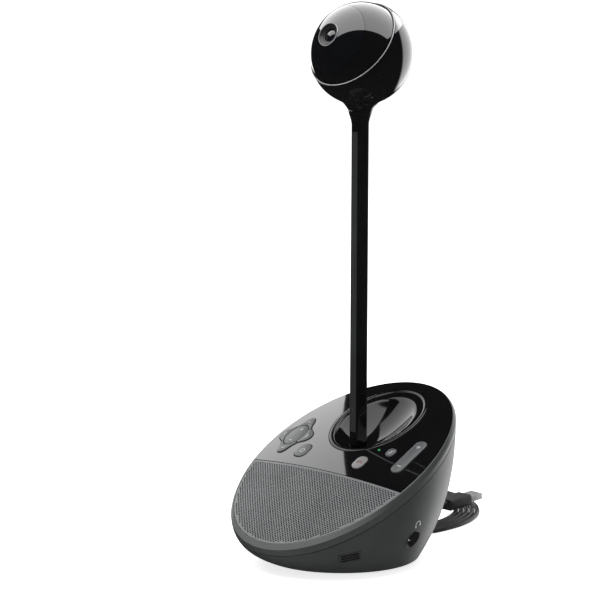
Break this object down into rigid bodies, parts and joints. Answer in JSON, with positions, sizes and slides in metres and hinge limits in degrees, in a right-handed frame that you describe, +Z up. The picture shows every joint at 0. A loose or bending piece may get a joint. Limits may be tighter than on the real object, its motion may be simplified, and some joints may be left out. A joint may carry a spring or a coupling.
{
  "type": "desktop conference camera",
  "caption": "Desktop conference camera: round speakerphone base with sloping control deck, lift-out mast and ball head whose eye pans and tilts, with USB cable.",
  "frame": {"origin": "on the table top, under the middle of the base", "axes": "+Z up along the mast, -Y towards the user in front of the deck, +X to the side with the headset socket"},
  "size_m": [0.2577, 0.2704, 0.3837],
  "materials": {
    "charcoal": "satin moulded plastic",
    "trim": "satin grey paint",
    "gloss": "piano black, polished",
    "grille": "grey woven metal mesh",
    "key": "satin grey plastic",
    "rubber": "matte",
    "steel": "plain steel",
    "inner": "matte black plastic",
    "board": "circuit board",
    "brass": "cut brass",
    "glass": "dark tinted window",
    "cone": "pressed paper",
    "lamp": "light pipe",
    "cable": "soft black jacket"
  },
  "bodies": {
    "base": {"lower_housing": "charcoal", "bezel_ring": "trim", "control_panel": "gloss", "speaker_grille": "grille", "speaker_baffle": "inner", "speaker_basket": "steel", "speaker_cone": "cone", "speaker_magnet": "steel", "dish": "gloss", "bottom_cover": "charcoal", "foot_pad_1": "rubber", "foot_pad_2": "rubber", "foot_pad_3": "rubber", "foot_pad_4": "rubber", "base_screw_1": "steel", "base_screw_2": "steel", "ballast_plate": "steel", "main_board": "board", "left_key_board": "board", "right_key_board": "board", "headset_jack": "inner", "mic_vent": "inner", "power_inlet": "inner", "status_lamp": "lamp", "mast_socket": "inner", "strain_relief": "rubber", "cord_lead": "cable", "cord_tail": "cable", "cord_coil": "cable", "plug_overmould": "rubber", "plug_shell": "steel"},
    "mast": {"mast_tube": "gloss", "mast_strip": "trim", "mast_foot": "inner"},
    "head_plug": {"neck_plug": "inner", "pan_gear": "brass"},
    "head": {"head_housing": "gloss", "seam_ring": "trim", "yoke": "inner", "pan_motor": "steel", "tilt_motor": "steel"},
    "pan_pinion": {"pan_pinion": "brass"},
    "tilt_pinion": {"tilt_pinion": "brass"},
    "eye": {"eye_shell": "gloss", "front_window": "glass", "lens_bezel": "trim", "image_board": "board", "left_tilt_pin": "steel", "right_tilt_pin": "steel", "tilt_gear": "brass"},
    "lens": {"lens": "glass"},
    "left_petal": {"left_petal": "key"},
    "right_petal": {"right_petal": "key"},
    "up_petal": {"up_petal": "key"},
    "down_petal": {"down_petal": "key"},
    "zoom_rocker": {"zoom_rocker": "key"},
    "home_key": {"home_key": "key"},
    "call_key": {"call_key": "key"},
    "mute_key": {"mute_key": "key"},
    "volume_rocker": {"volume_rocker": "key"}
  },
  "joints": [
    {"name": "mast_lift", "type": "slide", "parent": "base", "child": "mast", "axis": [0, 0, 1], "range_m": [0, 0.03]},
    {"name": "head_lift", "type": "slide", "parent": "mast", "child": "head_plug", "axis": [0, 0, 1], "range_m": [0, 0.02]},
    {"name": "head_pan", "type": "hinge", "parent": "head_plug", "child": "head", "pos_m": [0, 0.0137, 0.3495], "axis": [0, 0, 1], "range_deg": [-90, 90]},
    {"name": "eye_tilt", "type": "hinge", "parent": "head", "child": "eye", "pos_m": [0, 0.0137, 0.3495], "axis": [1, 0, 0], "range_deg": [-3, 44]},
    {"name": "lens_focus", "type": "slide", "parent": "eye", "child": "lens", "axis": [0, -0.9063, 0.4226], "range_m": [0, 0.0004]},
    {"name": "pan_pinion_spin", "type": "hinge", "parent": "head", "child": "pan_pinion", "pos_m": [0, 0.0257, 0.3495], "axis": [0, 0, 1], "range_deg": [-270, 270]},
    {"name": "tilt_pinion_spin", "type": "hinge", "parent": "head", "child": "tilt_pinion", "pos_m": [0, 0.0242, 0.3495], "axis": [1, 0, 0], "range_deg": [-112, 10]},
    {"name": "left_petal_press", "type": "slide", "parent": "base", "child": "left_petal", "axis": [-0.0982, -0.4889, 0.8668], "range_m": [-0.0006, 0], "stiffness_N_per_m": 150},
    {"name": "right_petal_press", "type": "slide", "parent": "base", "child": "right_petal", "axis": [-0.0982, -0.4889, 0.8668], "range_m": [-0.0006, 0], "stiffness_N_per_m": 150},
    {"name": "up_petal_press", "type": "slide", "parent": "base", "child": "up_petal", "axis": [-0.0982, -0.4889, 0.8668], "range_m": [-0.0006, 0], "stiffness_N_per_m": 150},
    {"name": "down_petal_press", "type": "slide", "parent": "base", "child": "down_petal", "axis": [-0.0982, -0.4889, 0.8668], "range_m": [-0.0006, 0], "stiffness_N_per_m": 150},
    {"name": "home_key_press", "type": "slide", "parent": "base", "child": "home_key", "axis": [-0.0607, -0.5127, 0.8564], "range_m": [-0.0006, 0], "stiffness_N_per_m": 150},
    {"name": "call_key_press", "type": "slide", "parent": "base", "child": "call_key", "axis": [0.0411, -0.5132, 0.8573], "range_m": [-0.0006, 0], "stiffness_N_per_m": 150},
    {"name": "mute_key_press", "type": "slide", "parent": "base", "child": "mute_key", "axis": [0.0693, -0.4878, 0.8702], "range_m": [-0.0006, 0], "stiffness_N_per_m": 150},
    {"name": "zoom_rock", "type": "hinge", "parent": "base", "child": "zoom_rocker", "pos_m": [-0.05486, 0.00746, 0.0757], "axis": [0.9952, -0.0483, 0.0855], "range_deg": [-3, 3], "stiffness_Nm_per_rad": 0.05},
    {"name": "volume_rock", "type": "hinge", "parent": "base", "child": "volume_rocker", "pos_m": [0.05466, 0.00945, 0.07684], "axis": [0.9952, 0.0477, -0.0854], "range_deg": [-2.5, 2.5], "stiffness_Nm_per_rad": 0.08}
  ],
  "couplings": [
    {"joint": "pan_pinion_spin", "follows": "head_pan", "ratio": 3},
    {"joint": "tilt_pinion_spin", "follows": "eye_tilt", "ratio": -2.5}
  ]
}
